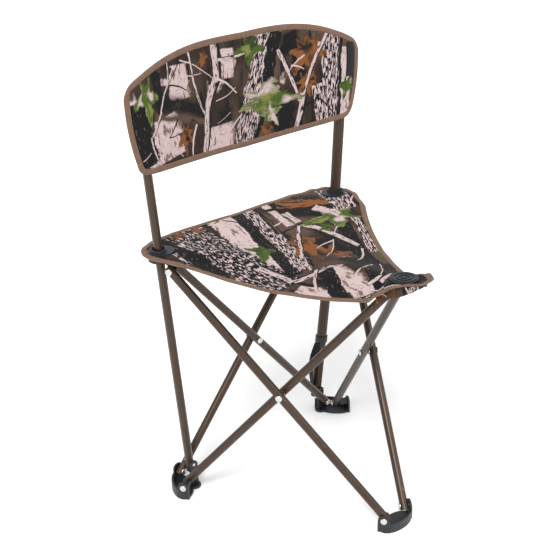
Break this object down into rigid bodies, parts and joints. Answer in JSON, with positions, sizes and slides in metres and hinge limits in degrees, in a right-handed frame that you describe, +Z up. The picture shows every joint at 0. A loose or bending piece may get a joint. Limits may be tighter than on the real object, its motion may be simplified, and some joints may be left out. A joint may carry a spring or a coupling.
{
  "type": "three leg stool",
  "caption": "Folding tripod stool with crossed tube legs, a triangular camouflage cloth seat and a curved cloth backrest on two posts.",
  "frame": {"origin": "centre of the whole stool's footprint box, on the floor", "axes": "+Z up; the single front corner of the seat points to -Y and the backrest stands at +Y; +X is to the right when looking from the front corner towards the backrest"},
  "size_m": [0.5606, 0.487, 0.867],
  "materials": {
    "frame_paint": "satin bronze-brown coating",
    "black_plastic": "matte moulded",
    "rivet_steel": "bright domed heads",
    "camo_cloth": "printed woven polyester, woodland camouflage",
    "binding_tape": "taupe woven tape",
    "black_webbing": "black webbing"
  },
  "bodies": {
    "front_foot": {"front_foot": "black_plastic", "front_foot_rivets": "rivet_steel"},
    "left_foot": {"left_foot": "black_plastic", "left_foot_rivets": "rivet_steel", "left_post_pin": "rivet_steel"},
    "right_foot": {"right_foot": "black_plastic", "right_foot_rivets": "rivet_steel", "right_post_pin": "rivet_steel"},
    "front_to_left_leg": {"front_to_left_tube": "frame_paint", "left_face_cross_rivet": "rivet_steel", "left_face_cross_washer": "black_plastic"},
    "front_to_right_leg": {"front_to_right_tube": "frame_paint", "right_face_cross_rivet": "rivet_steel", "right_face_cross_washer": "black_plastic"},
    "left_to_right_leg": {"left_to_right_tube": "frame_paint", "back_face_cross_rivet": "rivet_steel", "back_face_cross_washer": "black_plastic"},
    "left_to_front_leg": {"left_to_front_tube": "frame_paint"},
    "right_to_front_leg": {"right_to_front_tube": "frame_paint"},
    "right_to_left_leg": {"right_to_left_tube": "frame_paint"},
    "front_hub": {"front_hub": "black_plastic", "front_hub_rivets": "rivet_steel", "front_cap": "black_plastic", "seat_front_corner": "camo_cloth", "seat_front_corner_binding": "binding_tape", "front_pocket": "camo_cloth"},
    "left_hub": {"left_hub": "black_plastic", "left_hub_rivets": "rivet_steel", "left_collar": "black_plastic", "seat_left_corner": "camo_cloth", "seat_left_corner_binding": "binding_tape"},
    "right_hub": {"right_hub": "black_plastic", "right_hub_rivets": "rivet_steel", "right_collar": "black_plastic", "seat_right_corner": "camo_cloth", "seat_right_corner_binding": "binding_tape"},
    "left_post": {"left_post": "frame_paint", "left_post_plug": "black_plastic", "left_post_heel": "black_plastic"},
    "right_post": {"right_post": "frame_paint", "right_post_plug": "black_plastic", "right_post_heel": "black_plastic", "storage_strap": "black_webbing", "strap_clip": "black_plastic"},
    "seat_front_cloth": {"seat_front_panel": "camo_cloth", "seat_front_panel_binding": "binding_tape"},
    "seat_left_cloth": {"seat_left_panel": "camo_cloth", "seat_left_panel_binding": "binding_tape"},
    "seat_right_cloth": {"seat_right_panel": "camo_cloth", "seat_right_panel_binding": "binding_tape"},
    "backrest_left": {"backrest_left_half": "camo_cloth", "backrest_left_sleeve": "camo_cloth", "backrest_left_binding": "binding_tape"},
    "backrest_right": {"backrest_right_half": "camo_cloth", "backrest_right_sleeve": "camo_cloth", "backrest_right_binding": "binding_tape", "backrest_tag": "black_webbing"}
  },
  "joints": [
    {"name": "fold", "type": "hinge", "parent": "front_foot", "child": "front_to_left_leg", "pos_m": [-0.019, -0.1825, 0.0245], "axis": [0.866, 0.5, 0], "range_deg": [0, 32]},
    {"name": "front_foot_right_pivot", "type": "hinge", "parent": "front_foot", "child": "front_to_right_leg", "pos_m": [0.019, -0.1825, 0.0245], "axis": [0.866, -0.5, 0], "range_deg": [0, 32]},
    {"name": "left_hub_front_pivot", "type": "hinge", "parent": "front_to_left_leg", "child": "left_hub", "pos_m": [-0.21821, 0.16255, 0.483], "axis": [-0.866, -0.5, 0], "range_deg": [0, 32]},
    {"name": "left_hub_back_pivot", "type": "hinge", "parent": "left_hub", "child": "right_to_left_leg", "pos_m": [-0.19921, 0.19545, 0.483], "axis": [0, 1, 0], "range_deg": [0, 32]},
    {"name": "right_foot_back_pivot", "type": "hinge", "parent": "right_to_left_leg", "child": "right_foot", "pos_m": [0.19921, 0.19545, 0.0245], "axis": [0, -1, 0], "range_deg": [0, 32]},
    {"name": "right_foot_front_pivot", "type": "hinge", "parent": "right_foot", "child": "right_to_front_leg", "pos_m": [0.21821, 0.16255, 0.0245], "axis": [-0.866, 0.5, 0], "range_deg": [0, 32]},
    {"name": "right_hub_front_pivot", "type": "hinge", "parent": "front_to_right_leg", "child": "right_hub", "pos_m": [0.21821, 0.16255, 0.483], "axis": [-0.866, 0.5, 0], "range_deg": [0, 32]},
    {"name": "right_hub_back_pivot", "type": "hinge", "parent": "right_hub", "child": "left_to_right_leg", "pos_m": [0.19921, 0.19545, 0.483], "axis": [0, -1, 0], "range_deg": [0, 32]},
    {"name": "left_foot_back_pivot", "type": "hinge", "parent": "left_to_right_leg", "child": "left_foot", "pos_m": [-0.19921, 0.19545, 0.0245], "axis": [0, 1, 0], "range_deg": [0, 32]},
    {"name": "left_foot_front_pivot", "type": "hinge", "parent": "left_foot", "child": "left_to_front_leg", "pos_m": [-0.21821, 0.16255, 0.0245], "axis": [-0.866, -0.5, 0], "range_deg": [0, 32]},
    {"name": "front_hub_left_pivot", "type": "hinge", "parent": "left_to_front_leg", "child": "front_hub", "pos_m": [-0.019, -0.1825, 0.483], "axis": [0.866, 0.5, 0], "range_deg": [0, 32]},
    {"name": "left_post_pin", "type": "hinge", "parent": "left_foot", "child": "left_post", "pos_m": [-0.193, 0.184, 0.05], "axis": [0, 1, 0], "range_deg": [0, 1.2]},
    {"name": "right_post_pin", "type": "hinge", "parent": "right_foot", "child": "right_post", "pos_m": [0.193, 0.21, 0.05], "axis": [0, -1, 0], "range_deg": [0, 1.2]},
    {"name": "seat_front_drop", "type": "hinge", "parent": "front_hub", "child": "seat_front_cloth", "pos_m": [0, -0.1655, 0.5007], "axis": [-1, 0, 0], "range_deg": [0, 82], "deforming": ["seat_front_panel", "seat_front_panel_binding"]},
    {"name": "seat_left_drop", "type": "hinge", "parent": "left_hub", "child": "seat_left_cloth", "pos_m": [-0.19399, 0.1705, 0.5092], "axis": [0.5, 0.866, 0], "range_deg": [0, 82], "deforming": ["seat_left_panel", "seat_left_panel_binding"]},
    {"name": "seat_right_drop", "type": "hinge", "parent": "right_hub", "child": "seat_right_cloth", "pos_m": [0.19399, 0.1705, 0.5092], "axis": [0.5, -0.866, 0], "range_deg": [0, 82], "deforming": ["seat_right_panel", "seat_right_panel_binding"]},
    {"name": "backrest_left_swing", "type": "hinge", "parent": "left_post", "child": "backrest_left", "pos_m": [-0.24711, 0.1865, 0.76], "axis": [-0.076, 0, 0.9971], "range_deg": [0, 74], "deforming": ["backrest_left_half", "backrest_left_binding", "backrest_left_sleeve"]},
    {"name": "backrest_right_swing", "type": "hinge", "parent": "right_post", "child": "backrest_right", "pos_m": [0.24711, 0.1865, 0.76], "axis": [-0.076, 0, -0.9971], "range_deg": [0, 74], "deforming": ["backrest_right_half", "backrest_right_binding", "backrest_right_sleeve", "backrest_tag"]}
  ],
  "couplings": [
    {"joint": "front_foot_right_pivot", "follows": "fold", "ratio": 1},
    {"joint": "left_hub_front_pivot", "follows": "fold", "ratio": 1},
    {"joint": "left_hub_back_pivot", "follows": "fold", "ratio": 1},
    {"joint": "right_foot_back_pivot", "follows": "fold", "ratio": 1},
    {"joint": "right_foot_front_pivot", "follows": "fold", "ratio": 1},
    {"joint": "right_hub_front_pivot", "follows": "fold", "ratio": 1},
    {"joint": "right_hub_back_pivot", "follows": "fold", "ratio": 1},
    {"joint": "left_foot_back_pivot", "follows": "fold", "ratio": 1},
    {"joint": "left_foot_front_pivot", "follows": "fold", "ratio": 1},
    {"joint": "front_hub_left_pivot", "follows": "fold", "ratio": 1},
    {"joint": "left_post_pin", "follows": "fold", "ratio": 0.0375},
    {"joint": "right_post_pin", "follows": "fold", "ratio": 0.0375},
    {"joint": "seat_front_drop", "follows": "fold", "ratio": 2.5625},
    {"joint": "seat_left_drop", "follows": "fold", "ratio": 2.5625},
    {"joint": "seat_right_drop", "follows": "fold", "ratio": 2.5625},
    {"joint": "backrest_left_swing", "follows": "fold", "ratio": 2.3125},
    {"joint": "backrest_right_swing", "follows": "fold", "ratio": 2.3125}
  ]
}
